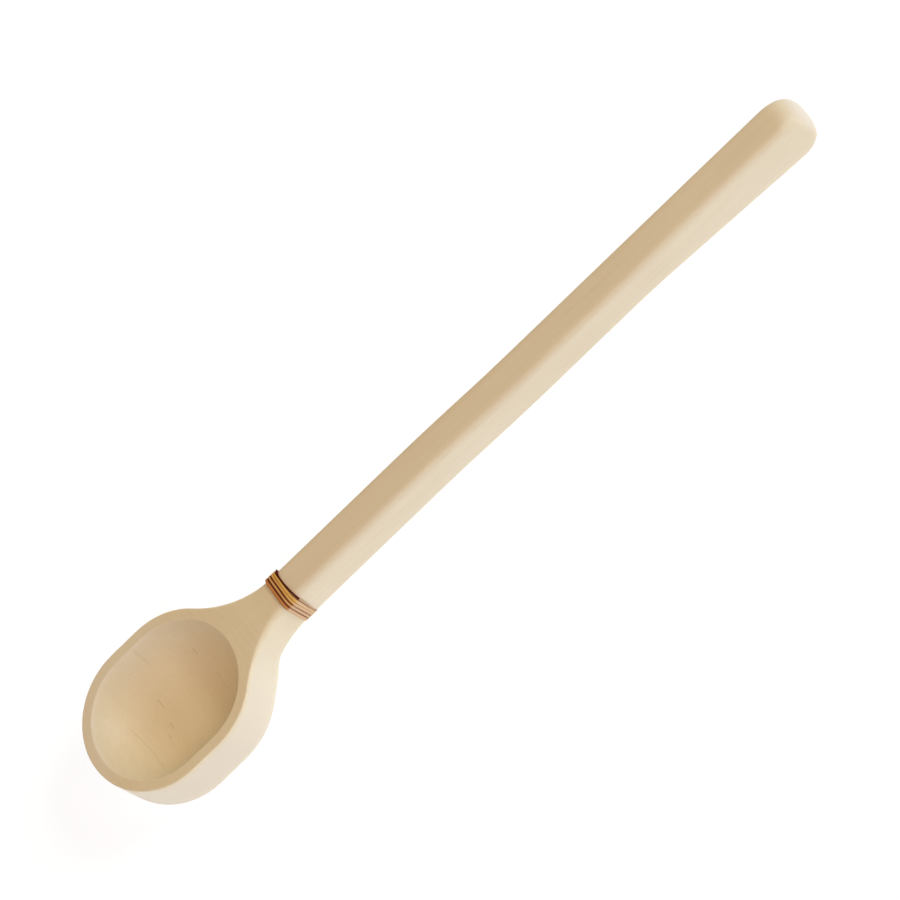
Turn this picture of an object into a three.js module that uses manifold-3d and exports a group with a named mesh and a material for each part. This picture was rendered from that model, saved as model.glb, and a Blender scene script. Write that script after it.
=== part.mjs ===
// Sauna ladle: a carved wooden bowl head and a straight wooden handle, doweled end to end and
// glued, with a cane strand wound over the joint.
// Millimetres, +Z up, +X from the bowl to the handle's end. The ladle lies as on a table, on the
// bowl's foot and the handle's deep end, and the origin is on the table under its middle.

import * as THREE from 'three';
import { mergeVertices } from 'three/addons/utils/BufferGeometryUtils.js';
import Module from 'manifold-3d';

// Overall
const overallLength = 400;
const topHeight = 26.5; // the level top face of bowl, neck and handle, above the table

// Bowl: in plan, two round ends joined by short straight sides
const bowlWidth = 67.9;
const bowlStraight = 14;
const footRound = 6.4; // rounded lower edge
const rimRound = 0.6;
const rimWidth = 5;
const hollowDepth = 17;
const hollowFlat = 2; // how far the floor is flat, out from the line between the bowl's two centres

// Neck, which sweeps in from the bowl to the width of the handle
const neckSweep = 46; // radius of the sweep in plan
const neckStraight = 0.9; // from the end of the sweep to the joint
const neckRoot = 11; // how far the neck runs on into the bowl's block
const heelRadius = 7.5; // hollow curve below, from the foot up to the handle's underside
const heelLength = 4.6; // from the bowl's back to the end of that curve

// Handle: a rectangle with rounded edges, which deepens below towards its end
const handleWidth = 16.6;
const handleDepth = 19.7;
const handleRound = 3.2;
const handleSet = 1.05; // how far its outer part stands over to one side, as shaped by hand
const setStart = 77; // from the joint
const setLength = 57;
const deepLength = 95; // the stretch that deepens down to the table
const endTopRound = 8.8;
const endLowRound = 11;
const endSideRound = 3.1;
const endEdgeRound = 6.4; // the handle's rounded edges where they reach the end face

// Dowel
const dowelDiameter = 8;
const dowelLength = 40;
const dowelChamfer = 1;
const fluteCount = 12;
const fluteDepth = 0.4;

// Binding
const strandDiameter = 1;
const turnGap = 0.42; // between one turn and the next
const bindingTurns = 5;
const anchorWeb = 1.5; // wood left between the hole for a strand's end and the dowel's socket

// Clearances
const glueGap = 0.3; // at the joint face and all round the dowel
const strandGap = 0.3; // between the strand and the wood it lies on or enters
const overrun = 1; // how far a cut runs on past the face that it opens

// Steps of the round stretches
const bowlEndSteps = 28;
const edgeSteps = 5;
const profileSteps = 7;
const rimSteps = 2;
const neckSteps = 12;
const setSteps = 8;
const endSteps = 9;
const fluteSteps = 6;
const socketSides = 36;
const anchorSides = 12;
const strandSides = 6;
const cornerSteps = 4;
const sideSteps = 2;

// A rounded corner stops just short of the middle of the side it lies on
const fullRound = 0.98;
const halfRound = fullRound / 2;

// Worked out from the sizes above
const tipX = -overallLength / 2;
const endX = overallLength / 2;
const bowlRadius = bowlWidth / 2;
const bowlFrontX = tipX + bowlRadius;
const bowlBackX = bowlFrontX + bowlStraight;
const mouthRadius = bowlRadius - rimWidth;
const scoopReach = mouthRadius - hollowFlat;
const scoopRadius = (scoopReach ** 2 + hollowDepth ** 2) / (2 * hollowDepth); // curve from floor to mouth
const scoopAngle = Math.atan2(scoopReach, scoopRadius - hollowDepth); // how steep that curve is at the mouth
const handleHalf = handleWidth / 2;
const underside = topHeight - handleDepth;
const sweepX = bowlBackX + Math.sqrt((bowlRadius + neckSweep) ** 2 - (handleHalf + neckSweep) ** 2);
const sweepStart = bowlBackX + ((sweepX - bowlBackX) * bowlRadius) / (bowlRadius + neckSweep);
const heelX = bowlBackX + bowlRadius + heelLength;
const jointX = sweepX + neckStraight;
const dowelRadius = dowelDiameter / 2;
const dowelZ = topHeight - handleDepth / 2;
const socketRadius = dowelRadius + glueGap;
const strandRadius = strandDiameter / 2;
const strandPitch = strandDiameter + turnGap;
const anchorRadius = strandRadius + strandGap;
const anchorDepth = handleDepth / 2 - socketRadius - anchorWeb;
const bindingStartX = jointX - (bindingTurns * strandPitch) / 2;
const bindingEndX = bindingStartX + bindingTurns * strandPitch;

// How far a rounded edge has drawn in at a distance from where its curve begins
const drawIn = (distance, radius) =>
  distance <= 0 ? 0 : radius - Math.sqrt(Math.max(radius ** 2 - distance ** 2, 0));

// Evenly spaced numbers from a to b, both included
const steps = (a, b, count) => Array.from({ length: count + 1 }, (_, i) => a + ((b - a) * i) / count);

// Skin over rings of the same number of points, each turning left about the way the rings advance
function loft(rings) {
  const count = rings[0].length;
  const positions = [];
  const index = [];
  for (const ring of rings) {
    for (const point of ring) positions.push(...point.toArray());
  }
  for (let i = 0; i + 1 < rings.length; i++) {
    for (let j = 0; j < count; j++) {
      const a = i * count + j;
      const b = i * count + ((j + 1) % count);
      index.push(a, b, b + count, a, b + count, a + count);
    }
  }
  const addCap = (ring, first, facing) => {
    const centre = positions.length / 3;
    const middle = ring.reduce((sum, point) => sum.add(point), new THREE.Vector3());
    positions.push(...middle.divideScalar(count).toArray());
    for (let j = 0; j < count; j++) {
      const pair = [first + j, first + ((j + 1) % count)];
      if (!facing) pair.reverse();
      index.push(centre, ...pair);
    }
  };
  addCap(rings[0], 0, false);
  addCap(rings.at(-1), (rings.length - 1) * count, true);
  const geometry = new THREE.BufferGeometry();
  geometry.setAttribute('position', new THREE.Float32BufferAttribute(positions, 3));
  geometry.setIndex(index);
  return geometry;
}

// Solid cuts
const wasm = await Module();
wasm.setup();

function toSolid(geometry) {
  const bare = geometry.clone();
  bare.deleteAttribute('normal');
  bare.deleteAttribute('uv');
  const merged = mergeVertices(bare, 1e-5);
  return new wasm.Manifold(
    new wasm.Mesh({
      numProp: 3,
      vertProperties: new Float32Array(merged.attributes.position.array),
      triVerts: new Uint32Array(merged.index.array),
    }),
  );
}

function toGeometry(solid) {
  const mesh = solid.getMesh();
  const geometry = new THREE.BufferGeometry();
  geometry.setAttribute('position', new THREE.BufferAttribute(mesh.vertProperties, 3));
  geometry.setIndex(new THREE.BufferAttribute(mesh.triVerts, 1));
  return geometry;
}

// Round hole along an axis, from one point to another
function hole(radius, from, to, sides) {
  const geometry = new THREE.CylinderGeometry(radius, radius, from.distanceTo(to), sides);
  const along = new THREE.Vector3().subVectors(to, from).normalize();
  const turn = new THREE.Quaternion().setFromUnitVectors(new THREE.Vector3(0, 1, 0), along);
  const middle = new THREE.Vector3().addVectors(from, to).divideScalar(2);
  geometry.applyQuaternion(turn);
  geometry.translate(...middle.toArray());
  return toSolid(geometry);
}

// Level outline of the bowl or its hollow: two half circles about the bowl's two centres
function bowlRing(radius, z) {
  const quarter = Math.PI / 2;
  const arc = (centreX, start) =>
    steps(start, start + Math.PI, bowlEndSteps).map(
      (angle) => new THREE.Vector3(centreX + radius * Math.cos(angle), radius * Math.sin(angle), z),
    );
  return [...arc(bowlBackX, -quarter), ...arc(bowlFrontX, quarter)];
}

// Cross-section of neck or handle, square to X: a rectangle with rounded corners, whose lower ones
// may be wider across than they are high
function stickSection({ x, halfWidth, bottom, top, topRound, lowRound, lowAcross = lowRound, centreY = 0 }) {
  const height = top - bottom;
  const corner = (side, edge, across, up, start) =>
    steps(start, start + Math.PI / 2, edgeSteps).map((angle) => {
      const y = centreY + side * (halfWidth - across) + across * Math.cos(angle);
      return new THREE.Vector3(x, y, edge + up * Math.sin(angle));
    });
  const high = Math.min(topRound, halfWidth * fullRound, height * halfRound);
  const low = Math.min(lowRound, height * halfRound);
  const wide = Math.min(lowAcross, halfWidth * fullRound);
  return [
    ...corner(1, bottom + low, wide, low, -Math.PI / 2),
    ...corner(1, top - high, high, high, 0),
    ...corner(-1, top - high, high, high, Math.PI / 2),
    ...corner(-1, bottom + low, wide, low, Math.PI),
  ];
}

// Bowl head: the bowl's block and the neck, hollowed, then bored for the dowel and a strand's end
function makeBowlHead() {
  const foot = steps(0, Math.PI / 2, profileSteps).map((angle) =>
    bowlRing(bowlRadius - footRound * (1 - Math.sin(angle)), footRound * (1 - Math.cos(angle))),
  );
  const rim = steps(0, Math.PI / 2, rimSteps).map((angle) =>
    bowlRing(bowlRadius - rimRound * (1 - Math.cos(angle)), topHeight - rimRound * (1 - Math.sin(angle))),
  );
  const neckSide = new THREE.BoxGeometry(bowlWidth, bowlWidth, topHeight + 2 * overrun);
  neckSide.translate(sweepStart + bowlRadius, 0, topHeight / 2);
  const block = toSolid(loft([...foot, ...rim])).subtract(toSolid(neckSide));

  const neckHalfWidth = (x) => handleHalf + drawIn(sweepX - x, neckSweep);
  const neckBottom = (x) => Math.max(underside - drawIn(heelX - x, heelRadius), 0);
  const neckAt = (x, halfWidth, bottom) => {
    const along = THREE.MathUtils.clamp((x - sweepStart) / (sweepX - sweepStart), 0, 1);
    const sideSlope = Math.asin(((1 - along) * (sweepX - sweepStart)) / neckSweep);
    const lowRound = THREE.MathUtils.lerp(footRound, handleRound, along);
    return stickSection({
      x,
      halfWidth,
      bottom,
      top: topHeight,
      topRound: THREE.MathUtils.lerp(rimRound, handleRound, along),
      lowRound,
      lowAcross: lowRound / Math.cos(sideSlope),
    });
  };
  const buried = neckAt(sweepStart - neckRoot, neckHalfWidth(sweepStart) - rimWidth, underside);
  const swept = steps(sweepStart, sweepX, neckSteps).map((x) => neckAt(x, neckHalfWidth(x), neckBottom(x)));
  const face = neckAt(jointX - glueGap / 2, handleHalf, underside);
  const neck = toSolid(loft([buried, ...swept, face]));

  const floorZ = topHeight - hollowDepth;
  const scoop = steps(0, scoopAngle, profileSteps).map((angle) =>
    bowlRing(hollowFlat + scoopRadius * Math.sin(angle), floorZ + scoopRadius * (1 - Math.cos(angle))),
  );
  const mouth = bowlRing(mouthRadius + overrun / Math.tan(scoopAngle), topHeight + overrun);
  const hollow = toSolid(loft([...scoop, mouth]));

  const carved = block.add(neck).subtract(hollow);
  return toGeometry(carved.subtract(socket(-1)).subtract(anchorHole(bindingStartX)));
}

// Blind socket for half of the dowel, in from the joint towards the bowl (-1) or the handle's end (1)
function socket(side) {
  const mouth = new THREE.Vector3(jointX - side * overrun, 0, dowelZ);
  const end = new THREE.Vector3(jointX + side * (dowelLength / 2 + glueGap), 0, dowelZ);
  return hole(socketRadius, mouth, end, socketSides);
}

// Blind hole for one end of the strand, up into the underside
function anchorHole(x) {
  const mouth = new THREE.Vector3(x, 0, underside - overrun);
  const end = new THREE.Vector3(x, 0, underside + anchorDepth);
  return hole(anchorRadius, mouth, end, anchorSides);
}

// Handle: lofted along its length, with its slight set to one side, deep end and rounded end
function makeHandle() {
  const deepX = endX - deepLength;
  const lowX = endX - endLowRound;
  const setX = jointX + setStart;
  const roundLength = Math.max(endTopRound, endLowRound, endSideRound);
  const roundStart = endX - roundLength;
  const stations = [
    jointX + glueGap / 2,
    ...steps(setX, setX + setLength, setSteps),
    deepX,
    ...steps(0, Math.PI / 2, endSteps).map((angle) => roundStart + roundLength * Math.sin(angle)),
  ].sort((a, b) => a - b);

  const rings = stations.map((x) => {
    const deepened = THREE.MathUtils.clamp((x - deepX) / (lowX - deepX), 0, 1);
    const rounded = THREE.MathUtils.clamp((x - roundStart) / roundLength, 0, 1);
    const lifted = drawIn(x - lowX, endLowRound);
    const edgeRound = THREE.MathUtils.lerp(handleRound, endEdgeRound, rounded);
    return stickSection({
      x,
      halfWidth: handleHalf - drawIn(x - (endX - endSideRound), endSideRound),
      bottom: THREE.MathUtils.lerp(underside, 0, deepened) + lifted,
      top: topHeight - drawIn(x - (endX - endTopRound), endTopRound),
      topRound: edgeRound,
      lowRound: edgeRound,
      centreY: -handleSet * THREE.MathUtils.smoothstep(x, setX, setX + setLength),
    });
  });
  const shaped = toSolid(loft(rings));
  return toGeometry(shaped.subtract(socket(1)).subtract(anchorHole(bindingEndX)));
}

// Dowel: a fluted peg with chamfered ends, lying along X across the joint
function makeDowel() {
  const ring = (x, inset) =>
    steps(0, 2 * Math.PI, fluteCount * fluteSteps).slice(0, -1).map((angle) => {
      const flute = Math.max(0, Math.cos(fluteCount * angle));
      const radius = dowelRadius - inset - fluteDepth * flute;
      return new THREE.Vector3(x, radius * Math.cos(angle), radius * Math.sin(angle));
    });
  const half = dowelLength / 2;
  return loft([
    ring(-half, dowelChamfer),
    ring(dowelChamfer - half, 0),
    ring(half - dowelChamfer, 0),
    ring(half, dowelChamfer),
  ]);
}

// Middle line of the strand: up out of sight in the neck, round the joint, and into the handle
function strandPath() {
  const seat = strandRadius + strandGap;
  const cornerRadius = handleRound + seat;
  const flatY = handleHalf - handleRound;
  const flatZ = handleDepth / 2 - handleRound;
  const runZ = underside - seat;
  const holeTop = underside + anchorDepth - strandGap;
  const bend = strandDiameter;
  const quarterSteps = cornerSteps + sideSteps;
  const loopSteps = 4 * quarterSteps;

  // One point of the winding, counted in steps from the middle of the underside, the -Y side first
  const onLoop = (step) => {
    const fromCorner = step - sideSteps / 2;
    const quarter = Math.floor(fromCorner / quarterSteps);
    const within = fromCorner - quarter * quarterSteps;
    const cornerY = (n) => [-1, -1, 1, 1][((n % 4) + 4) % 4] * flatY;
    const cornerZ = (n) => dowelZ + [-1, 1, 1, -1][((n % 4) + 4) % 4] * flatZ;
    const angle = (quarter - 1 + Math.min(within / cornerSteps, 1)) * (Math.PI / 2);
    const along = Math.max(within - cornerSteps, 0) / sideSteps;
    const y = THREE.MathUtils.lerp(cornerY(quarter), cornerY(quarter + 1), along);
    const z = THREE.MathUtils.lerp(cornerZ(quarter), cornerZ(quarter + 1), along);
    const x = bindingStartX + (strandPitch * step) / loopSteps;
    return new THREE.Vector3(x, y - cornerRadius * Math.cos(angle), z + cornerRadius * Math.sin(angle));
  };
  const bendPoints = (x, side, start) =>
    steps(start, start + Math.PI / 2, cornerSteps).map(
      (angle) => new THREE.Vector3(x, bend * (side - Math.cos(angle)), runZ + bend * (1 + Math.sin(angle))),
    );
  const winding = steps(1, bindingTurns * loopSteps - 1, bindingTurns * loopSteps - 2).map(onLoop);
  return [
    new THREE.Vector3(bindingStartX, 0, holeTop),
    ...bendPoints(bindingStartX, -1, Math.PI),
    ...winding,
    ...bendPoints(bindingEndX, 1, 1.5 * Math.PI),
    new THREE.Vector3(bindingEndX, 0, holeTop),
  ];
}

// Binding: one unbroken strand along that line
function makeBinding() {
  const path = strandPath();
  const rings = path.map((point, i) => {
    const before = path[Math.max(i - 1, 0)];
    const after = path[Math.min(i + 1, path.length - 1)];
    const tangent = new THREE.Vector3().subVectors(after, before).normalize();
    const side = new THREE.Vector3(1, 0, 0);
    side.addScaledVector(tangent, -tangent.x).normalize();
    const out = new THREE.Vector3().crossVectors(side, tangent);
    return steps(0, 2 * Math.PI, strandSides).slice(0, -1).map((angle) =>
      point.clone()
        .addScaledVector(out, strandRadius * Math.cos(angle))
        .addScaledVector(side, strandRadius * Math.sin(angle)),
    );
  });
  let leastGap = Infinity;
  const apart = cornerSteps + sideSteps; // points nearer than this along the strand are its own bend
  for (let i = 0; i < path.length; i++) {
    for (let j = i + apart; j < path.length; j++) {
      leastGap = Math.min(leastGap, path[i].distanceTo(path[j]) - strandDiameter);
    }
  }
  console.log(`binding: least gap of the strand to itself ${leastGap.toFixed(2)} mm`);
  return loft(rings);
}

// Finishes
const headWood = new THREE.MeshStandardMaterial({ color: '#dcc6a2', roughness: 0.62, metalness: 0 });
const handleWood = new THREE.MeshStandardMaterial({ color: '#dfcbab', roughness: 0.6, metalness: 0 });
const dowelWood = new THREE.MeshStandardMaterial({ color: '#cfb48a', roughness: 0.7, metalness: 0 });
const cane = new THREE.MeshStandardMaterial({ color: '#b9824a', roughness: 0.5, metalness: 0 });

// Assembly
const ladle = new THREE.Group();

function place(name, geometry, material, position = [0, 0, 0]) {
  const mesh = new THREE.Mesh(geometry, material);
  mesh.name = name;
  mesh.position.set(...position);
  ladle.add(mesh);
}

place('bowl_head', makeBowlHead(), headWood);
place('handle', makeHandle(), handleWood);
place('joint_dowel', makeDowel(), dowelWood, [jointX, 0, dowelZ]);
place('binding', makeBinding(), cane);

export default ladle;
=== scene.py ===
# Sauna ladle: bowl head, handle, hidden dowel and the cane strand wound over their joint.
# Metres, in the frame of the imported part: +X from the bowl to the handle's end, +Z up.
import bmesh
import bpy
import math
from mathutils import Matrix, Vector


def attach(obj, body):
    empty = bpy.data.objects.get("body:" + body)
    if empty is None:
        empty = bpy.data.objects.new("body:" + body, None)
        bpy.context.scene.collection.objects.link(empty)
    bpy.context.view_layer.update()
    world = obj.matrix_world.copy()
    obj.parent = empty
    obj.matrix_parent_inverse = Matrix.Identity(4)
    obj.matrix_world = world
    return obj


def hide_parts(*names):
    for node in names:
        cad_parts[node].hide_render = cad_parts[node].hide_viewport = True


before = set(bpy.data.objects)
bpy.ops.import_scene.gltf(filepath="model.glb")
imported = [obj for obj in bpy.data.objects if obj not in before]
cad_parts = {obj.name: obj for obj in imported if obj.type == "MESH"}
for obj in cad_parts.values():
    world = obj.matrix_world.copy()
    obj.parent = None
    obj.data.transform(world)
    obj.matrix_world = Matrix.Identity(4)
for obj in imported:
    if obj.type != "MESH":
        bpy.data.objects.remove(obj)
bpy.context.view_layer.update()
scene = bpy.context.scene
scene.view_settings.view_transform = "Standard"

# Camera, at the photograph's angle and rolled as it was held
photoCamera = {
    "aim": (0.00012, -0.00858, 0.02654),  # what the middle of the picture shows
    "back": (0.2164, -0.5317, 0.8188),  # from the ladle towards the camera
    "up": (0.6767, 0.6862, 0.2667),
    "distance": 14.0,  # far off, as the photograph shows hardly any perspective
    "pictureWidth": 0.36585,  # how much is seen, side to side, at the aim
    "sensor": 36.0,
    "farClip": 30.0,
}


def addCamera(look):
    back = Vector(look["back"]).normalized()
    right = Vector(look["up"]).cross(back).normalized()
    up = back.cross(right)
    data = bpy.data.cameras.new("photoCamera")
    data.sensor_width = look["sensor"]
    data.lens = look["sensor"] * look["distance"] / look["pictureWidth"]
    data.clip_end = look["farClip"]
    camera = bpy.data.objects.new("photoCamera", data)
    turn = Matrix((right, up, back)).transposed().to_4x4()
    camera.matrix_world = Matrix.Translation(Vector(look["aim"]) + back * look["distance"]) @ turn
    scene.collection.objects.link(camera)
    scene.camera = camera


addCamera(photoCamera)
print("camera: set at the photograph's angle")


# Node helpers
def addNode(tree, kind, inputs=None, **settings):
    node = tree.nodes.new(kind)
    for key, value in settings.items():
        setattr(node, key, value)
    for key, value in (inputs or {}).items():
        if isinstance(value, bpy.types.NodeSocket):
            tree.links.new(value, node.inputs[key])
        else:
            node.inputs[key].default_value = value
    return node


def sums(tree, operation, first, second=0.0, clamp=False):
    node = addNode(tree, "ShaderNodeMath", {0: first, 1: second}, operation=operation, use_clamp=clamp)
    return node.outputs[0]


def mixColours(tree, factor, first, second, blend="MIX"):
    node = addNode(tree, "ShaderNodeMix", {0: factor, 6: first, 7: second},
                   data_type="RGBA", blend_type=blend)
    return node.outputs[2]


def rangeOf(tree, value, fromLow, fromHigh, toLow=0.0, toHigh=1.0):
    node = addNode(tree, "ShaderNodeMapRange", {0: value, 1: fromLow, 2: fromHigh, 3: toLow, 4: toHigh},
                   interpolation_type="SMOOTHSTEP")
    return node.outputs[0]


def stretched(tree, vector, scale, offset=(0, 0, 0)):
    node = addNode(tree, "ShaderNodeMapping", {"Vector": vector, "Scale": scale, "Location": offset})
    return node.outputs[0]


def noiseOf(tree, vector, detail, roughness):
    node = addNode(tree, "ShaderNodeTexNoise",
                   {"Vector": vector, "Scale": 1.0, "Detail": detail, "Roughness": roughness})
    return node.outputs[0]


def newMaterial(name):
    material = bpy.data.materials.new(name)
    material.use_nodes = True
    tree = material.node_tree
    return material, tree, tree.nodes["Principled BSDF"]


def colour(values):
    return (*values, 1.0)


# Studio: white floor and surround for the camera, soft lamps and a dim even surround for the ladle
studio = {
    "floorZ": -0.0002, "floorSize": 8.0,
    "floorColour": (0.82, 0.82, 0.82),
    # the floor's own white where it is seen, near the ladle and further off, where less light falls
    "floorGlow": (0.74, 0.765, 0.80), "farGlow": (1.0, 1.0, 1.0), "glowFrom": 0.5, "glowTo": 1.4,
    "floorShade": 0.42,  # how much of the fallen light, and so of the shadow, the camera sees
    "floorLift": 0.825,  # what it gives the ladle's lower faces, as a table lit from below does
    "liftTint": (0.76, 0.87, 1.0),
    "surround": (1.0, 0.83, 0.69), "surroundLight": 0.072,
}
lamps = {
    "endLamp": {"from": (3.07, -0.32, 2.11), "size": (1.44, 0.96), "power": 48.0, "tint": (0.95, 1.0, 0.86)},
    "lowLamp": {"from": (3.68, -0.48, 0.8), "size": (2.24, 1.44), "power": 42.3, "tint": (0.56, 0.74, 1.0)},
    "tipLamp": {"from": (-1.6, -1.6, 0.8), "size": (1.6, 1.0), "power": 9.3, "tint": (1.0, 0.89, 0.66)},
    "frontLamp": {"from": (-1.5, -1.7, 0.22), "size": (1.6, 0.3), "power": 4.6, "tint": (0.55, 0.74, 1.0)},
    "sideLamp": {"from": (-0.6, -2.1, 0.7), "size": (2.2, 0.8), "power": 7.3, "tint": (0.15, 0.5, 1.0)},
    "topLamp": {"from": (0.1, -1.2, 1.9), "size": (1.8, 1.4), "power": 11.0, "tint": (1.0, 0.74, 0.55)},
    "overLamp": {"from": (-0.1, 0.0, 1.6), "size": (3.0, 3.0), "power": 11.2, "tint": (1.0, 0.74, 0.51)},
    "backLamp": {"from": (-0.3, 2.0, 1.2), "size": (2.2, 1.2), "power": 5.4, "tint": (1.0, 0.76, 0.2)},
}


def seenDirectly(tree):
    path = addNode(tree, "ShaderNodeLightPath")
    shown = sums(tree, "MAXIMUM", path.outputs["Is Camera Ray"], path.outputs["Is Glossy Ray"])
    return sums(tree, "MAXIMUM", shown, path.outputs["Is Transmission Ray"])


def addFloor(look):
    bm = bmesh.new()
    bmesh.ops.create_grid(bm, x_segments=2, y_segments=2, size=look["floorSize"])
    bmesh.ops.translate(bm, verts=bm.verts, vec=(0, 0, look["floorZ"]))
    mesh = bpy.data.meshes.new("studioFloor")
    bm.to_mesh(mesh)
    bm.free()
    floor = bpy.data.objects.new("studioFloor", mesh)
    scene.collection.objects.link(floor)
    material, tree, plain = newMaterial("floorWhite")
    tree.nodes.remove(plain)
    output = tree.nodes["Material Output"]
    fallen = addNode(tree, "ShaderNodeBsdfDiffuse", {"Color": colour(look["floorColour"])})
    faint = addNode(tree, "ShaderNodeBsdfDiffuse", {"Color": colour([look["floorShade"]] * 3)})
    place = addNode(tree, "ShaderNodeTexCoord").outputs["Object"]
    away = addNode(tree, "ShaderNodeVectorMath", {0: place}, operation="LENGTH").outputs["Value"]
    far = rangeOf(tree, away, look["glowFrom"], look["glowTo"])
    own = mixColours(tree, far, colour(look["floorGlow"]), colour(look["farGlow"]))
    glow = addNode(tree, "ShaderNodeEmission", {"Color": own, "Strength": 1.0})
    shown = addNode(tree, "ShaderNodeAddShader", {0: faint.outputs[0], 1: glow.outputs[0]})
    lift = addNode(tree, "ShaderNodeEmission",
                   {"Color": colour(look["liftTint"]), "Strength": look["floorLift"]})
    lit = addNode(tree, "ShaderNodeAddShader", {0: fallen.outputs[0], 1: lift.outputs[0]})
    picked = addNode(tree, "ShaderNodeMixShader",
                     {0: seenDirectly(tree), 1: lit.outputs[0], 2: shown.outputs[0]})
    under = addNode(tree, "ShaderNodeNewGeometry").outputs["Backfacing"]
    clear = addNode(tree, "ShaderNodeBsdfTransparent")
    sided = addNode(tree, "ShaderNodeMixShader", {0: under, 1: picked.outputs[0], 2: clear.outputs[0]})
    tree.links.new(sided.outputs[0], output.inputs["Surface"])
    mesh.materials.append(material)


def addSurround(look):
    world = bpy.data.worlds.new("studioWhite")
    scene.world = world
    world.use_nodes = True
    tree = world.node_tree
    dim = tree.nodes["Background"]
    dim.inputs["Color"].default_value = colour(look["surround"])
    dim.inputs["Strength"].default_value = look["surroundLight"]
    white = addNode(tree, "ShaderNodeBackground", {"Color": colour((1, 1, 1)), "Strength": 1.0})
    picked = addNode(tree, "ShaderNodeMixShader",
                     {0: seenDirectly(tree), 1: dim.outputs[0], 2: white.outputs[0]})
    tree.links.new(picked.outputs[0], tree.nodes["World Output"].inputs["Surface"])


def addLamp(name, look):
    data = bpy.data.lights.new(name, "AREA")
    data.shape = "RECTANGLE"
    data.size, data.size_y = look["size"]
    data.energy = look["power"]
    data.color = look["tint"]
    lamp = bpy.data.objects.new(name, data)
    place = Vector(look["from"])
    lamp.matrix_world = Matrix.Translation(place) @ place.to_track_quat("Z", "Y").to_matrix().to_4x4()
    lamp.visible_camera = False
    scene.collection.objects.link(lamp)


addFloor(studio)
addSurround(studio)
for lampName, lampLook in lamps.items():
    addLamp(lampName, lampLook)
print("studio: floor, surround and", len(lamps), "lamps")


# Wood: growth rings, fibres, flecks and slow changes of tone, with the grain along the vector's X, in mm
grainPattern = {
    "ringStretch": (0.12, 1, 1), "pith": (0, 38, -64), "ringScale": 0.11, "ringSharpness": 3.0,
    "ringWarp": {"Distortion": 5.0, "Detail": 2.0, "Detail Scale": 0.25, "Detail Roughness": 0.6},
    "fibreStretch": (0.035, 1.7, 1.7), "fibreRange": (0.35, 0.75),
    "fleckStretch": (0.1, 1.5, 1.5), "fleckShift": (3, 11, 7), "fleckRange": (0.74, 0.84), "fleckDip": 0.6,
    "mottleStretch": (0.014, 0.06, 0.06), "mottleShift": (5, 2, 9), "mottleRange": (0.3, 0.7),
    "roughRange": (0.3, 0.7), "roughness": (0.5, 0.6),  # from the fibres' noise
}


def makeWoodGrain(look):
    group = bpy.data.node_groups.new("paleWoodGrain", "ShaderNodeTree")
    wanted = (("Vector", "NodeSocketVector"), ("Light Wood", "NodeSocketColor"),
              ("Dark Wood", "NodeSocketColor"), ("Fleck", "NodeSocketColor"),
              ("Rings", "NodeSocketFloat"), ("Fibres", "NodeSocketFloat"),
              ("Flecks", "NodeSocketFloat"), ("Mottle", "NodeSocketFloat"))
    for name, kind in wanted:
        group.interface.new_socket(name=name, in_out="INPUT", socket_type=kind)
    for name, kind in (("Color", "NodeSocketColor"), ("Roughness", "NodeSocketFloat"),
                       ("Height", "NodeSocketFloat")):
        group.interface.new_socket(name=name, in_out="OUTPUT", socket_type=kind)
    given = addNode(group, "NodeGroupInput").outputs
    vector = given["Vector"]
    rings = addNode(group, "ShaderNodeTexWave", {
        "Vector": stretched(group, vector, look["ringStretch"], look["pith"]),
        "Scale": look["ringScale"], **look["ringWarp"],
    }, wave_type="RINGS", rings_direction="X", wave_profile="SIN").outputs["Fac"]
    fibreVector = stretched(group, vector, look["fibreStretch"])
    fleckVector = stretched(group, vector, look["fleckStretch"], look["fleckShift"])
    mottleVector = stretched(group, vector, look["mottleStretch"], look["mottleShift"])
    fibres = noiseOf(group, fibreVector, detail=3.0, roughness=0.62)
    flecks = noiseOf(group, fleckVector, detail=1.0, roughness=0.4)
    flecks = rangeOf(group, flecks, *look["fleckRange"])
    mottle = noiseOf(group, mottleVector, detail=2.0, roughness=0.5)
    ringPart = sums(group, "MULTIPLY", sums(group, "POWER", rings, look["ringSharpness"]), given["Rings"])
    fibrePart = sums(group, "MULTIPLY", rangeOf(group, fibres, *look["fibreRange"]), given["Fibres"])
    mottlePart = sums(group, "MULTIPLY", rangeOf(group, mottle, *look["mottleRange"]), given["Mottle"])
    darker = sums(group, "ADD", sums(group, "ADD", ringPart, fibrePart), mottlePart, clamp=True)
    wood = mixColours(group, darker, given["Light Wood"], given["Dark Wood"])
    fleckPart = sums(group, "MULTIPLY", flecks, given["Flecks"], clamp=True)
    wood = mixColours(group, fleckPart, wood, given["Fleck"])
    rough = rangeOf(group, fibres, *look["roughRange"], *look["roughness"])
    height = sums(group, "SUBTRACT", fibres, sums(group, "MULTIPLY", fleckPart, look["fleckDip"]))
    addNode(group, "NodeGroupOutput", {"Color": wood, "Roughness": rough, "Height": height})
    return group


# Edges rubbed lighter and smoother by handling, from the piece's own edgeWear attribute
rubPattern = {
    "patchSize": (0.3, 0.3, 0.3), "patchRange": (0.25, 0.65), "wearRange": (0.45, 1.0), "smoothing": 0.12,
}


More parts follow.
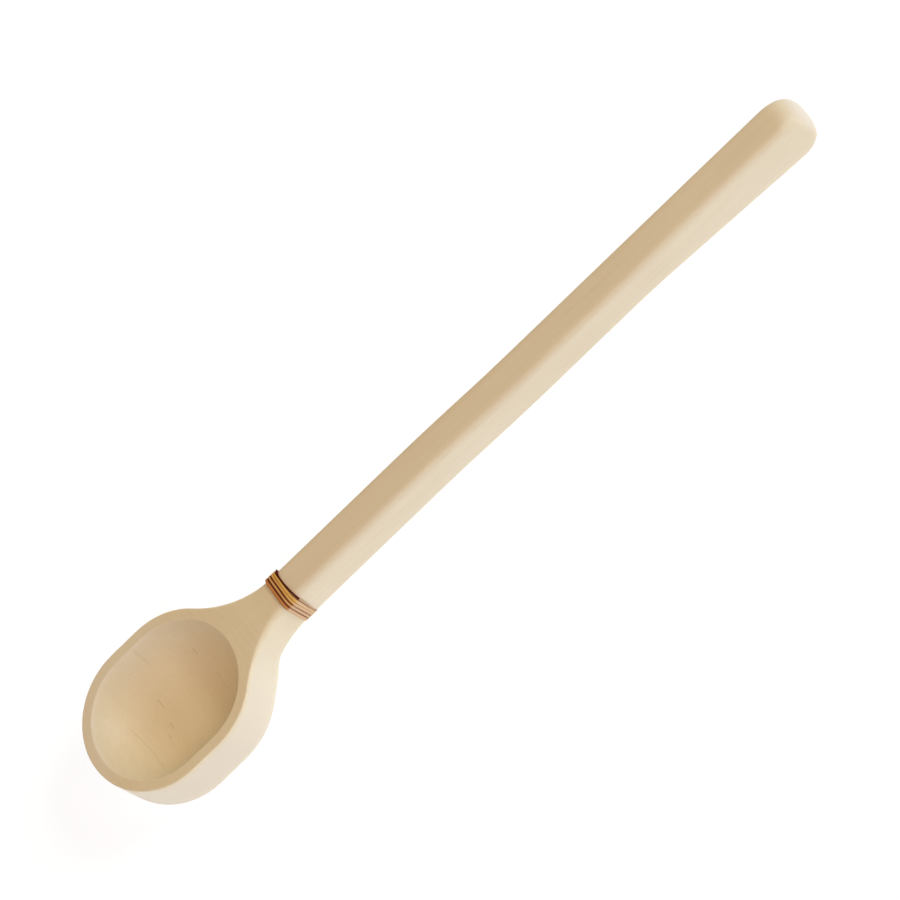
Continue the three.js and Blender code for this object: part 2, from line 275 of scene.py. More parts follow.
def makeEdgeRub(look):
    group = bpy.data.node_groups.new("rubbedEdges", "ShaderNodeTree")
    for name, kind in (("Color", "NodeSocketColor"), ("Roughness", "NodeSocketFloat"),
                       ("Vector", "NodeSocketVector"), ("Wear", "NodeSocketFloat"),
                       ("Rubbed", "NodeSocketColor"), ("Amount", "NodeSocketFloat")):
        group.interface.new_socket(name=name, in_out="INPUT", socket_type=kind)
    for name, kind in (("Color", "NodeSocketColor"), ("Roughness", "NodeSocketFloat")):
        group.interface.new_socket(name=name, in_out="OUTPUT", socket_type=kind)
    given = addNode(group, "NodeGroupInput").outputs
    patchVector = stretched(group, given["Vector"], look["patchSize"])
    patches = noiseOf(group, patchVector, detail=3.0, roughness=0.6)
    patches = rangeOf(group, patches, *look["patchRange"], *look["wearRange"])
    worn = sums(group, "MULTIPLY", given["Wear"], patches)
    worn = sums(group, "MULTIPLY", worn, given["Amount"], clamp=True)
    wearAndPaintedSheen = mixColours(group, worn, given["Color"], given["Rubbed"])
    less = sums(group, "MULTIPLY", worn, look["smoothing"])
    smoother = sums(group, "SUBTRACT", given["Roughness"], less)
    addNode(group, "NodeGroupOutput", {"Color": wearAndPaintedSheen, "Roughness": smoother})
    return group


woodGrain = makeWoodGrain(grainPattern)
edgeRub = makeEdgeRub(rubPattern)

reliefDepth = 0.00012  # of the wood's fibres
millimetres = 1000  # in a metre

# Under the binding the wood is painted dark: painted shade in the gaps between the strand's turns, paler down
# the lit sides
bindingGapShade = {
    "middleX": -0.0925, "halfWidth": 0.0026, "fade": 0.0006,
    "colour": (0.06, 0.006, 0.001), "litGapColour": (0.46, 0.24, 0.13), "sideZ": 0.0242, "topZ": 0.0252,
}
headFinish = {
    "light": (0.76, 0.636, 0.44), "dark": (0.66, 0.511, 0.318), "fleck": (0.36, 0.24, 0.10),
    "rings": 0.07, "fibres": 0.2, "flecks": 0.45, "mottle": 0.30,
    "grainTurn": math.radians(90), "grainShift": (0, 0, 0),  # the grain runs across the ladle
    "wearAndPaintedSheen": (0.82, 0.70, 0.52), "rub": 0.5, "relief": 0.25, "specular": 0.5,
    "pale": (0.745, 0.645, 0.52), "paleAmount": 0.75,  # the outer wall, painted paler and cooler: partly the end grain's own tone, partly painted light
    "lines": (  # darker lines of grain: middle of each, and its length, half width and strength, in mm
        {"at": (-180.0, -5.0), "length": 38.0, "half": 0.28, "strength": 0.26, "lean": 0.11},
        {"at": (-165.6, 10.2), "length": 5.4, "half": 0.24, "strength": 0.5},
        {"at": (-167.7, -0.5), "length": 4.4, "half": 0.24, "strength": 0.45},
        {"at": (-170.8, -4.1), "length": 3.6, "half": 0.22, "strength": 0.42},
        {"at": (-171.3, -11.2), "length": 11.0, "half": 0.22, "strength": 0.2},
        {"at": (-139.9, 14.5), "length": 3.4, "half": 0.35, "strength": 0.3},
        {"at": (-138.6, -2.6), "length": 12.0, "half": 0.6, "strength": 0.1},
        {"at": (-158.0, 25.8), "length": 8.0, "half": 0.9, "strength": 0.1},
    ),
    "rimPaintedLight": {  # painted light: the top of the rim is painted paler towards the bowl's far side and its tip
        "towards": (-0.6, 0.8), "middleX": -0.159, "start": 0.006, "full": 0.022,
        "lowZ": 0.0248, "topZ": 0.0262, "amount": 0.45,
    },
    "gapShade": bindingGapShade,
}
handleFinish = {
    "light": (0.76, 0.64, 0.47), "dark": (0.66, 0.52, 0.35), "fleck": (0.40, 0.28, 0.14),
    "rings": 0.09, "fibres": 0.17, "flecks": 0.35, "mottle": 0.28,
    "grainTurn": 0.0, "grainShift": (40, 6, 3),
    "wearAndPaintedSheen": (0.81, 0.69, 0.47), "rub": 0.4, "relief": 0.25, "specular": 0.5,
    "pale": (0.75, 0.635, 0.53), "paleAmount": 0.7,  # the end, painted paler and cooler: partly the end grain's own tone, partly painted light
    "lines": (), "rimPaintedLight": None, "gapShade": bindingGapShade,
}
dowelFinish = {
    "light": (0.64, 0.47, 0.28), "dark": (0.50, 0.34, 0.18), "fleck": (0.28, 0.17, 0.08),
    "rings": 0.5, "fibres": 0.5, "flecks": 0.5, "mottle": 0.4,
    "grainTurn": 0.0, "grainShift": (9, 4, 30),
    "wearAndPaintedSheen": (0.70, 0.54, 0.35), "rub": 0.0, "relief": 0.3, "specular": 0.3,
    "paleAmount": 0.0, "lines": (), "rimPaintedLight": None, "gapShade": None,
}


# A few single lines of grain, each a thin wavering mask where the wood is darker
lineCourse = {
    "waverSize": (0.12, 0.3, 0.3), "waver": 0.8,  # how far a line sways, in mm
    "core": 0.2, "fadeFrom": 0.3, "fadeTo": 0.5,  # shares of its half width and of its length
}


def addLines(tree, grainPlace, look):
    across = addNode(tree, "ShaderNodeSeparateXYZ", {0: grainPlace})
    waverPlace = stretched(tree, grainPlace, lineCourse["waverSize"])
    waver = noiseOf(tree, waverPlace, detail=2.0, roughness=0.5)
    bent = sums(tree, "ADD", across.outputs["Y"], sums(tree, "MULTIPLY", waver, lineCourse["waver"]))
    turn = Matrix.Rotation(look["grainTurn"], 2)
    found = 0.0
    for line in look["lines"]:
        half, length = line["half"], line["length"]
        middle = turn @ Vector(line["at"])
        along = sums(tree, "SUBTRACT", across.outputs["X"], middle.x)
        leaning = sums(tree, "MULTIPLY", along, line.get("lean", 0.0))
        course = sums(tree, "ADD", leaning, middle.y + lineCourse["waver"] / 2)
        far = sums(tree, "ABSOLUTE", sums(tree, "SUBTRACT", bent, course))
        thin = rangeOf(tree, far, lineCourse["core"] * half, half, line["strength"], 0.0)
        off = sums(tree, "ABSOLUTE", along)
        there = rangeOf(tree, off, lineCourse["fadeFrom"] * length, lineCourse["fadeTo"] * length, 1.0, 0.0)
        found = sums(tree, "MAXIMUM", found, sums(tree, "MULTIPLY", thin, there))
    return found


def addRimPaintedLight(tree, spot, look):
    alongX = sums(tree, "SUBTRACT", spot.outputs["X"], look["middleX"])
    alongX = sums(tree, "MULTIPLY", alongX, look["towards"][0])
    alongY = sums(tree, "MULTIPLY", spot.outputs["Y"], look["towards"][1])
    sided = rangeOf(tree, sums(tree, "ADD", alongX, alongY), look["start"], look["full"])
    level = rangeOf(tree, spot.outputs["Z"], look["lowZ"], look["topZ"], 0.0, look["amount"])
    return sums(tree, "MULTIPLY", sided, level)


def addGapShade(tree, spot, look):
    off = sums(tree, "ABSOLUTE", sums(tree, "SUBTRACT", spot.outputs["X"], look["middleX"]))
    shadedGaps = rangeOf(tree, off, look["halfWidth"], look["halfWidth"] + look["fade"], 1.0, 0.0)
    upper = rangeOf(tree, spot.outputs["Z"], look["sideZ"], look["topZ"])
    return shadedGaps, mixColours(tree, upper, colour(look["litGapColour"]), colour(look["colour"]))


def makeWood(name, look):
    material, tree, shader = newMaterial(name)
    place = addNode(tree, "ShaderNodeTexCoord").outputs["Object"]
    grainPlace = addNode(tree, "ShaderNodeMapping", {
        "Vector": place, "Location": look["grainShift"],
        "Rotation": (0, 0, look["grainTurn"]), "Scale": [millimetres] * 3,
    }).outputs[0]
    grain = addNode(tree, "ShaderNodeGroup", node_tree=woodGrain)
    tree.links.new(grainPlace, grain.inputs["Vector"])
    for socket, key in (("Light Wood", "light"), ("Dark Wood", "dark"), ("Fleck", "fleck")):
        grain.inputs[socket].default_value = colour(look[key])
    for socket, key in (("Rings", "rings"), ("Fibres", "fibres"), ("Flecks", "flecks"), ("Mottle", "mottle")):
        grain.inputs[socket].default_value = look[key]
    rub = addNode(tree, "ShaderNodeGroup", node_tree=edgeRub)
    wear = addNode(tree, "ShaderNodeAttribute", attribute_name="edgeWear").outputs["Fac"]
    tree.links.new(grain.outputs["Color"], rub.inputs["Color"])
    tree.links.new(grain.outputs["Roughness"], rub.inputs["Roughness"])
    tree.links.new(grainPlace, rub.inputs["Vector"])
    tree.links.new(wear, rub.inputs["Wear"])
    rub.inputs["Rubbed"].default_value = colour(look["wearAndPaintedSheen"])
    rub.inputs["Amount"].default_value = look["rub"]
    finished = rub.outputs["Color"]
    spot = addNode(tree, "ShaderNodeSeparateXYZ", {0: place})
    if look["lines"]:
        finished = mixColours(tree, addLines(tree, grainPlace, look), finished, colour(look["fleck"]))
    # the outer wall and the handle's end painted paler and cooler, partly painted light
    if look["paleAmount"]:
        outer = addNode(tree, "ShaderNodeAttribute", attribute_name="outerWall").outputs["Fac"]
        outer = sums(tree, "MULTIPLY", outer, look["paleAmount"])
        # painted light on the rim's top towards its far side
        if look["rimPaintedLight"]:
            outer = sums(tree, "MAXIMUM", outer, addRimPaintedLight(tree, spot, look["rimPaintedLight"]))
        finished = mixColours(tree, outer, finished, colour(look["pale"]))
    # painted shade in the gaps between the binding's turns
    if look["gapShade"]:
        shadedGaps, gapShadeColour = addGapShade(tree, spot, look["gapShade"])
        finished = mixColours(tree, shadedGaps, finished, gapShadeColour)
    bump = addNode(tree, "ShaderNodeBump", {"Height": grain.outputs["Height"],
                                            "Strength": look["relief"], "Distance": reliefDepth})
    tree.links.new(finished, shader.inputs["Base Color"])
    tree.links.new(rub.outputs["Roughness"], shader.inputs["Roughness"])
    tree.links.new(bump.outputs[0], shader.inputs["Normal"])
    shader.inputs["Specular IOR Level"].default_value = look["specular"]
    return material


headWood = makeWood("headWood", headFinish)
handleWood = makeWood("handleWood", handleFinish)
dowelWood = makeWood("dowelWood", dowelFinish)

# Cane: colour changing turn by turn, flanks darker (partly painted shade in the grooves), sides painted paler
# (painted sheen)
caneFinish = {
    "turns": 5,
    "colours": (  # the colour turn by turn, from the bowl's side on; the last, thin turn nearly black
        (0.10, (0.64, 0.275, 0.088)),
        (0.30, (0.81, 0.458, 0.196)),
        (0.50, (0.79, 0.432, 0.132)),
        (0.70, (0.82, 0.492, 0.122)),
        (0.77, (0.77, 0.440, 0.100)),
        (0.81, (0.045, 0.005, 0.0003)),
    ),
    # the flanks' near black: partly the cane's own edges, partly painted shade in the grooves between turns
    "edge": (0.14, 0.006, 0.0001), "edgeAmount": 1.0,
    # painted sheen: below sideZ the strand and its grooves are painted paler, painted light on the lit sides
    "sideZ": 0.0242, "topZ": 0.0250, "paintedSheenTone": (0.69, 0.485, 0.305), "paintedSheenAmount": 0.8,
    "litGrooveColour": (0.48, 0.26, 0.15),
    # fine streaks along the strand: how many to a turn and across it, where they start, and what they do
    "streakCount": (14.0, 1.6), "streakRange": (0.4, 0.7), "streakTone": (0.55, 0.42, 0.34), "streak": 0.5,
    "roughRange": (0.3, 0.7), "roughness": (0.36, 0.52), "relief": 0.3, "reliefDepth": 0.0001,
    "specular": 0.03, "coat": 0.01, "coatRoughness": 0.3,
}


def makeCane(look):
    material, tree, shader = newMaterial("caneSkin")
    place = addNode(tree, "ShaderNodeTexCoord").outputs["Object"]
    turn = addNode(tree, "ShaderNodeAttribute", attribute_name="strandTurn").outputs["Fac"]
    side = addNode(tree, "ShaderNodeAttribute", attribute_name="strandSide").outputs["Fac"]
    flank = addNode(tree, "ShaderNodeAttribute", attribute_name="strandEdge").outputs["Fac"]
    tone = addNode(tree, "ShaderNodeValToRGB", {0: sums(tree, "DIVIDE", turn, look["turns"])})
    stops = tone.color_ramp.elements
    while len(stops) < len(look["colours"]):
        stops.new(0.5)
    for stop, (where, value) in zip(stops, look["colours"]):
        stop.position = where
        stop.color = colour(value)
    alongCount, acrossCount = look["streakCount"]
    strand = addNode(tree, "ShaderNodeCombineXYZ", {
        0: sums(tree, "MULTIPLY", turn, alongCount), 1: sums(tree, "MULTIPLY", side, acrossCount),
    }).outputs[0]
    streaks = noiseOf(tree, strand, detail=4.0, roughness=0.65)
    dark = mixColours(tree, 1.0, tone.outputs[0], colour(look["streakTone"]), "MULTIPLY")
    streakPart = sums(tree, "MULTIPLY", rangeOf(tree, streaks, *look["streakRange"]), look["streak"])
    skin = mixColours(tree, streakPart, tone.outputs[0], dark)
    height = addNode(tree, "ShaderNodeSeparateXYZ", {0: place}).outputs["Z"]
    # painted sheen: the strand paler down the sides, below sideZ, and its grooves there paler too
    wearAndPaintedSheen = rangeOf(tree, height, look["sideZ"], look["topZ"], 1.0, 0.0)
    paintedSheenShare = sums(tree, "MULTIPLY", wearAndPaintedSheen, look["paintedSheenAmount"])
    skin = mixColours(tree, paintedSheenShare, skin, colour(look["paintedSheenTone"]))
    # the grooves: near black over the top, partly painted shade, and paler down the sides, painted light
    groove = mixColours(tree, wearAndPaintedSheen, colour(look["edge"]), colour(look["litGrooveColour"]))
    skin = mixColours(tree, sums(tree, "MULTIPLY", flank, look["edgeAmount"]), skin, groove)
    rough = rangeOf(tree, streaks, *look["roughRange"], *look["roughness"])
    bump = addNode(tree, "ShaderNodeBump", {"Height": streaks, "Strength": look["relief"],
                                            "Distance": look["reliefDepth"]})
    tree.links.new(skin, shader.inputs["Base Color"])
    tree.links.new(rough, shader.inputs["Roughness"])
    tree.links.new(bump.outputs[0], shader.inputs["Normal"])
    shader.inputs["Specular IOR Level"].default_value = look["specular"]
    shader.inputs["Coat Weight"].default_value = look["coat"]
    shader.inputs["Coat Roughness"].default_value = look["coatRoughness"]
    return material


caneSkin = makeCane(caneFinish)
print("finishes: head, handle and dowel wood, cane")


# Modelling helpers: a row is a list of vertices, each joined to the next by an edge
mergeDistance = 1e-6


def walkOn(row):
    seen = set(row)
    while True:
        ahead = [edge.other_vert(row[-1]) for edge in row[-1].link_edges]
        ahead = [vert for vert in ahead if vert not in seen]
        if not ahead:
            return row
        row.append(ahead[0])
        seen.add(ahead[0])


def pullRow(bm, row, places, ring=False):
    pairs = list(zip(row, row[1:] + row[:1])) if ring else list(zip(row, row[1:]))
    edges = [next(e for e in a.link_edges if e.other_vert(a) is b) for a, b in pairs]
    made = bmesh.ops.extrude_edge_only(bm, edges=edges)["geom"]
    fresh = {part for part in made if isinstance(part, bmesh.types.BMVert)}
    pulled = [next(e.other_vert(v) for e in v.link_edges if e.other_vert(v) in fresh) for v in row]
    for vert, place in zip(pulled, places):
        vert.co = place
    return pulled


def setWear(row, layer, amount):
    for vert in row:
        vert[layer] = amount


def between(a, b, t):
    return a + (b - a) * t


def smooth(t):
    t = min(max(t, 0.0), 1.0)
    return t * t * (3 - 2 * t)


def drawIn(distance, radius):
    return 0.0 if distance <= 0 else radius - math.sqrt(max(radius ** 2 - distance ** 2, 0.0))


def quarter(steps):
    return [math.pi / 2 * i / steps for i in range(steps + 1)]


def finishPiece(bm, name, material, node, levels):
    bmesh.ops.remove_doubles(bm, verts=bm.verts, dist=mergeDistance)
    bmesh.ops.recalc_face_normals(bm, faces=bm.faces)
    for meshFace in bm.faces:
        meshFace.smooth = True
    mesh = bpy.data.meshes.new(name)
    bm.to_mesh(mesh)
    bm.free()
    mesh.materials.append(material)
    piece = bpy.data.objects.new(name, mesh)
    scene.collection.objects.link(piece)
    softening = piece.modifiers.new("softening", "SUBSURF")
    softening.levels = levels
    softening.render_levels = levels
    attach(piece, "root")
    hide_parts(node)
    print(name + ":", len(mesh.polygons), "faces before softening")


# Joint: the section that neck and handle share there, and the socket in each for the dowel
joint = {
    "half": 0.0083, "round": 0.0032, "underside": 0.0068, "topZ": 0.0265,
    "socketRadius": 0.0047, "socketDepth": 0.0208, "socketZ": 0.01665,
    "socketRows": (0.02, 0.98, 1.0),  # down to its floor; two of them keep its edges crisp when softened
}


def pullSocket(bm, row, faceX, inward, ring=False):
    middle = Vector((faceX, 0, joint["socketZ"]))
    deep = Vector((inward * joint["socketDepth"], 0, 0))
    rim = []
    for vert in row:
        away = vert.co - middle
        away.x = 0
        rim.append(middle + away.normalized() * joint["socketRadius"])
    row = pullRow(bm, row, rim, ring)
    for share in joint["socketRows"]:
        row = pullRow(bm, row, [place + deep * share for place in rim], ring)
    return row, middle + deep


# Bowl head: half of it is pulled row by row from its outline, then mirrored
headShape = {
    **joint, "tipX": -0.2,
    "bowlRadius": 0.03395, "bowlStraight": 0.014, "sweepRadius": 0.046, "neckStraight": 0.00089,
    "footRound": 0.0064, "rimRound": 0.0006, "mouthRound": 0.0006,
    "heelStart": -0.1205, "heelEnd": -0.1105, "heelCurve": 0.067, "neckTaper": 0.08,  # from foot to neck
    "mouthRadius": 0.02895, "hollowDepth": 0.017, "hollowFlat": 0.002,
    # rows under the belly, in foot rounds from the edge, and up the wall and in over the top, as shares
    "bellyInset": 1.3, "wallRows": (0.12, 0.5, 0.9), "topRows": (0.1, 0.5, 0.9, 1.0),
    "footWear": 0.35, "rimWear": (0.4, 1.0), "mouthWear": 0.5, "lipWear": 0.9, "hollowWear": 0.3,
    "frontSteps": 20, "sideSteps": 4, "backSteps": 10, "sweepSteps": 18, "mouthSteps": 9,
    "jointSteps": 3, "footSteps": 6, "rimSteps": 4, "lipSteps": 3, "hollowSteps": 12,
    "softening": 1,
}


def makeHead(shape):
    bm = bmesh.new()
    wear = bm.verts.layers.float.new("edgeWear")
    outer = bm.verts.layers.float.new("outerWall")
    radius, top = shape["bowlRadius"], shape["topZ"]
    frontX = shape["tipX"] + radius
    backX = frontX + shape["bowlStraight"]
    sweepY = shape["half"] + shape["sweepRadius"]
    sweepX = backX + math.sqrt((radius + shape["sweepRadius"]) ** 2 - sweepY ** 2)
    sweepAngle = math.atan2(sweepY, sweepX - backX)
    jointX = sweepX + shape["neckStraight"]

    # outline, from the tip round to the joint
    def arc(row, centre, angle, steps):
        bmesh.ops.spin(bm, geom=[row[-1]], cent=centre, axis=(0, 0, 1), angle=angle, steps=steps)
        return walkOn(row)

    def straight(row, toX, steps):
        stride = (toX - row[-1].co.x) / steps
        for _ in range(steps):
            made = bmesh.ops.extrude_vert_indiv(bm, verts=[row[-1]])["verts"]
            bmesh.ops.translate(bm, verts=made, vec=(stride, 0, 0))
            row.append(made[0])
        return row

    outline = [bm.verts.new((shape["tipX"], 0, 0))]
    outline = arc(outline, (frontX, 0, 0), -math.pi / 2, shape["frontSteps"])
    outline = straight(outline, backX, shape["sideSteps"])
    outline = arc(outline, (backX, 0, 0), sweepAngle - math.pi / 2, shape["backSteps"])
    sweepIndex = len(outline) - 1
    outline = arc(outline, (sweepX, sweepY, 0), math.pi / 2 - sweepAngle, shape["sweepSteps"])
    outline = straight(outline, jointX, shape["jointSteps"])
    mouthIndex = sweepIndex + shape["mouthSteps"]

    # for each point of the outline: the way out, where the mouth's ring lies, and how its edges are rounded
    spots = []
    for i, vert in enumerate(outline):
        at = vert.co.copy()
        if at.x < frontX:
            out = at - Vector((frontX, 0, 0))
        elif at.x > backX and i <= sweepIndex:
            out = at - Vector((backX, 0, 0))
        elif i > sweepIndex and at.x < sweepX:
            out = Vector((sweepX, sweepY, 0)) - at
        else:
            out = Vector((0, 1, 0))
        along = min(max((at.x - outline[sweepIndex].co.x) / (sweepX - outline[sweepIndex].co.x), 0), 1)
        if i > sweepIndex:
            angle = sweepAngle * max(1 - (i - sweepIndex) / shape["mouthSteps"], 0)
            fromHub, hub = Vector((math.cos(angle), math.sin(angle), 0)), Vector((backX, 0, 0))
        else:
            hubX = min(max(at.x, frontX), backX)
            fromHub, hub = out.normalized(), Vector((hubX, 0, 0))
        spots.append({
            "at": at, "out": out.normalized(), "fromHub": fromHub, "hub": hub,
            "low": between(shape["footRound"], shape["round"], along),
            "high": between(shape["rimRound"], shape["round"], smooth(along)),
            "paleShare": 1 - along,
        })

    def underZ(x, y):
        across = x + y * y / shape["heelCurve"]
        heel = smooth((across - shape["heelStart"]) / (shape["heelEnd"] - shape["heelStart"]))
        taper = smooth((x - shape["heelEnd"]) / (sweepX - shape["heelEnd"]))
        return shape["underside"] * (heel - shape["neckTaper"] * (heel - taper))

    def setIn(spot, inset):
        place = spot["at"] - spot["out"] * inset
        place.y = max(place.y, 0)
        return place

    def lowRow(inset, lift):
        places = []
        for spot in spots:
            place = setIn(spot, inset * spot["low"])
            place.z = underZ(place.x, place.y) + lift * spot["low"]
            places.append(place)
        return places

    def wallRow(share):
        places = []
        for spot in spots:
            place = spot["at"].copy()
            lowest = underZ(place.x, place.y) + spot["low"]
            place.z = between(lowest, top - spot["high"], share)
            places.append(place)
        return places

    def highRow(inset, drop):
        places = []
        for spot in spots:
            place = setIn(spot, inset * spot["high"])
            place.z = top - drop * spot["high"]
            places.append(place)
        return places

    def mouthRow(ringRadius, z):
        places = []
        for spot in spots[:mouthIndex + 1]:
            place = spot["hub"] + spot["fromHub"] * ringRadius
            places.append(Vector((place.x, max(place.y, 0), z)))
        return places

    # underside, foot, wall and top edge
    belly = lowRow(shape["bellyInset"], 0)
    for vert, place in zip(outline, belly):
        vert.co = (place.x, 0, underZ(place.x, 0))
    row = outline
    profile = [row[-1]]

    def pull(places, worn=0.0, paleShare=0.0):
        nonlocal row
        row = pullRow(bm, row, places)
        setWear(row, wear, worn)
        # the outer wall's paler tone, partly painted light, fading along the neck
        for vert, spot in zip(row, spots):
            vert[outer] = paleShare * spot["paleShare"]
        profile.append(row[-1])

    pull(belly)
    for angle in quarter(shape["footSteps"]):
        worn = shape["footWear"] * math.sin(2 * angle)
        pull(lowRow(1 - math.sin(angle), 1 - math.cos(angle)), worn, math.sin(angle))
    for share in shape["wallRows"]:
        pull(wallRow(share), 0.0, 1.0)
    for angle in quarter(shape["rimSteps"]):
        worn = between(*shape["rimWear"], math.sin(2 * angle))
        pull(highRow(1 - math.cos(angle), 1 - math.sin(angle)), worn)

    # level top, in to the hollow's mouth, and past it to the middle of the neck
    edge = [vert.co.copy() for vert in row]
    inner = mouthRow(shape["mouthRadius"] + shape["mouthRound"], top)
    neckSteps = len(spots) - 1 - mouthIndex
    neckStart = inner[-1].x
    for i in range(1, neckSteps + 1):
        inner.append(Vector((between(neckStart, jointX, i / neckSteps), 0, top)))
    for share in shape["topRows"]:
        worn = shape["mouthWear"] if share == 1.0 else 0.0
        pull([between(a, b, share) for a, b in zip(edge, inner)], worn)

    # hollow, scooped in one curve from its mouth down to its floor
    row = row[:mouthIndex + 1]
    depth, flat = shape["hollowDepth"], shape["hollowFlat"]
    reach = shape["mouthRadius"] - flat
    scoopRadius = (reach ** 2 + depth ** 2) / (2 * depth)
    scoopAngle = math.atan2(reach, scoopRadius - depth)
    for angle in quarter(shape["lipSteps"])[1:-1]:
        ringRadius = shape["mouthRadius"] + shape["mouthRound"] * (1 - math.sin(angle))
        row = pullRow(bm, row, mouthRow(ringRadius, top - shape["mouthRound"] * (1 - math.cos(angle))))
        setWear(row, wear, shape["lipWear"] * math.cos(angle))
    for i in reversed(range(shape["hollowSteps"])):
        angle = scoopAngle * i / shape["hollowSteps"]
        height = top - depth + scoopRadius * (1 - math.cos(angle))
        row = pullRow(bm, row, mouthRow(flat + scoopRadius * math.sin(angle), height))
        setWear(row, wear, shape["hollowWear"])
    pullRow(bm, row, [Vector((vert.co.x, 0, top - depth)) for vert in row])

    # joint face and the dowel's socket
    row, floorMiddle = pullSocket(bm, profile, jointX, -1)
    pullRow(bm, row, [floorMiddle] * len(row))

    half = bm.verts[:] + bm.edges[:] + bm.faces[:]
    bmesh.ops.mirror(bm, geom=half, axis="Y", merge_dist=mergeDistance)
    finishPiece(bm, "bowlHead", headWood, "bowl_head", shape["softening"])


makeHead(headShape)

# Handle: a ring with rounded corners, pulled along from the joint to the rounded end
handleShape = {
    **joint, "startX": -0.09244, "endX": 0.2,
    "set": 0.00105, "setStart": -0.0155, "setEnd": 0.0415,  # its outer part stands over to one side
    "deepStart": 0.105, "deepEnd": 0.189, "deepSoften": 0.012,  # where it deepens down to the table
    # how the end is rounded off, at its top, underside, sides and corners
    "endTop": 0.0088, "endLow": 0.011, "endSide": 0.0031, "endEdge": 0.0064, "roundLimit": 0.98,
    "edgeWear": 0.3, "endWear": 0.5,
    # rings close to the joint, then a stride apart, and at the end shares of the way to its middle
    "startRows": (0.00025, 0.001, 0.004), "stride": 0.009, "lastStride": 1.5, "endRows": (0.15, 0.5, 0.8),
    "cornerSteps": 6, "flatSteps": 3, "endSteps": 10, "softening": 1,
}


def makeHandle(shape):
    bm = bmesh.new()
    wear = bm.verts.layers.float.new("edgeWear")
    outer = bm.verts.layers.float.new("outerWall")
    roundLength = max(shape["endTop"], shape["endLow"])
    roundStart = shape["endX"] - roundLength
    cornerSteps, flatSteps = shape["cornerSteps"], shape["flatSteps"]
    sideCount = cornerSteps + flatSteps

    def deepened(x):
        # straight run down to the table, eased in where it starts
        run, soft = x - shape["deepStart"], shape["deepSoften"]
        eased = max(run + soft, 0) ** 2 / (4 * soft) if run < soft else run
        return min(eased / (shape["deepEnd"] - shape["deepStart"]), 1)

    def ringAt(x):
        half = shape["half"] - drawIn(x - (shape["endX"] - shape["endSide"]), shape["endSide"])
        high = shape["topZ"] - drawIn(x - (shape["endX"] - shape["endTop"]), shape["endTop"])
        low = shape["underside"] * (1 - deepened(x))
        low += drawIn(x - (shape["endX"] - shape["endLow"]), shape["endLow"])
        share = min(max((x - roundStart) / roundLength, 0), 1)
        corner = between(shape["round"], shape["endEdge"], share)
        corner = min(corner, half * shape["roundLimit"], (high - low) / 2 * shape["roundLimit"])
        middleY = -shape["set"] * smooth((x - shape["setStart"]) / (shape["setEnd"] - shape["setStart"]))
        hubs = [(half - corner, low + corner), (half - corner, high - corner),
                (corner - half, high - corner), (corner - half, low + corner)]
        places = []
        for n, (hubY, hubZ) in enumerate(hubs):
            nextY, nextZ = hubs[(n + 1) % 4]
            for i in range(sideCount):
                turned = math.pi / 2 * (n - 1 + min(i / cornerSteps, 1))
                onward = max(i - cornerSteps, 0) / flatSteps
                y = between(hubY, nextY, onward) + corner * math.cos(turned)
                z = between(hubZ, nextZ, onward) + corner * math.sin(turned)
                places.append(Vector((x, middleY + y, z)))
        return places

    ring = bmesh.ops.create_circle(bm, segments=4 * sideCount, radius=shape["half"])["verts"]
    for vert, place in zip(ring, ringAt(shape["startX"])):
        vert.co = place
    first = ring
    edged = [shape["edgeWear"] if i % sideCount <= cornerSteps else 0.0 for i in range(4 * sideCount)]
    stations = [shape["startX"] + near for near in shape["startRows"]]
    while stations[-1] + shape["lastStride"] * shape["stride"] < roundStart:
        stations.append(stations[-1] + shape["stride"])
    stations += [roundStart + roundLength * math.sin(angle) for angle in quarter(shape["endSteps"])]
    for x in stations:
        ring = pullRow(bm, ring, ringAt(x), ring=True)
        for vert, amount in zip(ring, edged):
            vert[wear] = amount if x < roundStart else shape["endWear"]
            # the end's paler tone, partly painted light
            vert[outer] = smooth((x - (shape["endX"] - shape["endSide"])) / shape["endSide"])

    # end face, drawn together to its middle
    middle = sum((vert.co for vert in ring), Vector()) / len(ring)
    for share in shape["endRows"]:
        ring = pullRow(bm, ring, [between(vert.co, middle, share) for vert in ring], ring=True)
    bmesh.ops.contextual_create(bm, geom=ring)

    # joint face and the dowel's socket
    ring, _ = pullSocket(bm, first, shape["startX"], 1, ring=True)
    bmesh.ops.contextual_create(bm, geom=ring)
    finishPiece(bm, "handleStick", handleWood, "handle", shape["softening"])


makeHandle(handleShape)

# Dowel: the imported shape, inside both, with its own wood
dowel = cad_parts["joint_dowel"]
dowel.data.materials.clear()
dowel.data.materials.append(dowelWood)
print("joint_dowel: packed shape kept, in its own wood")

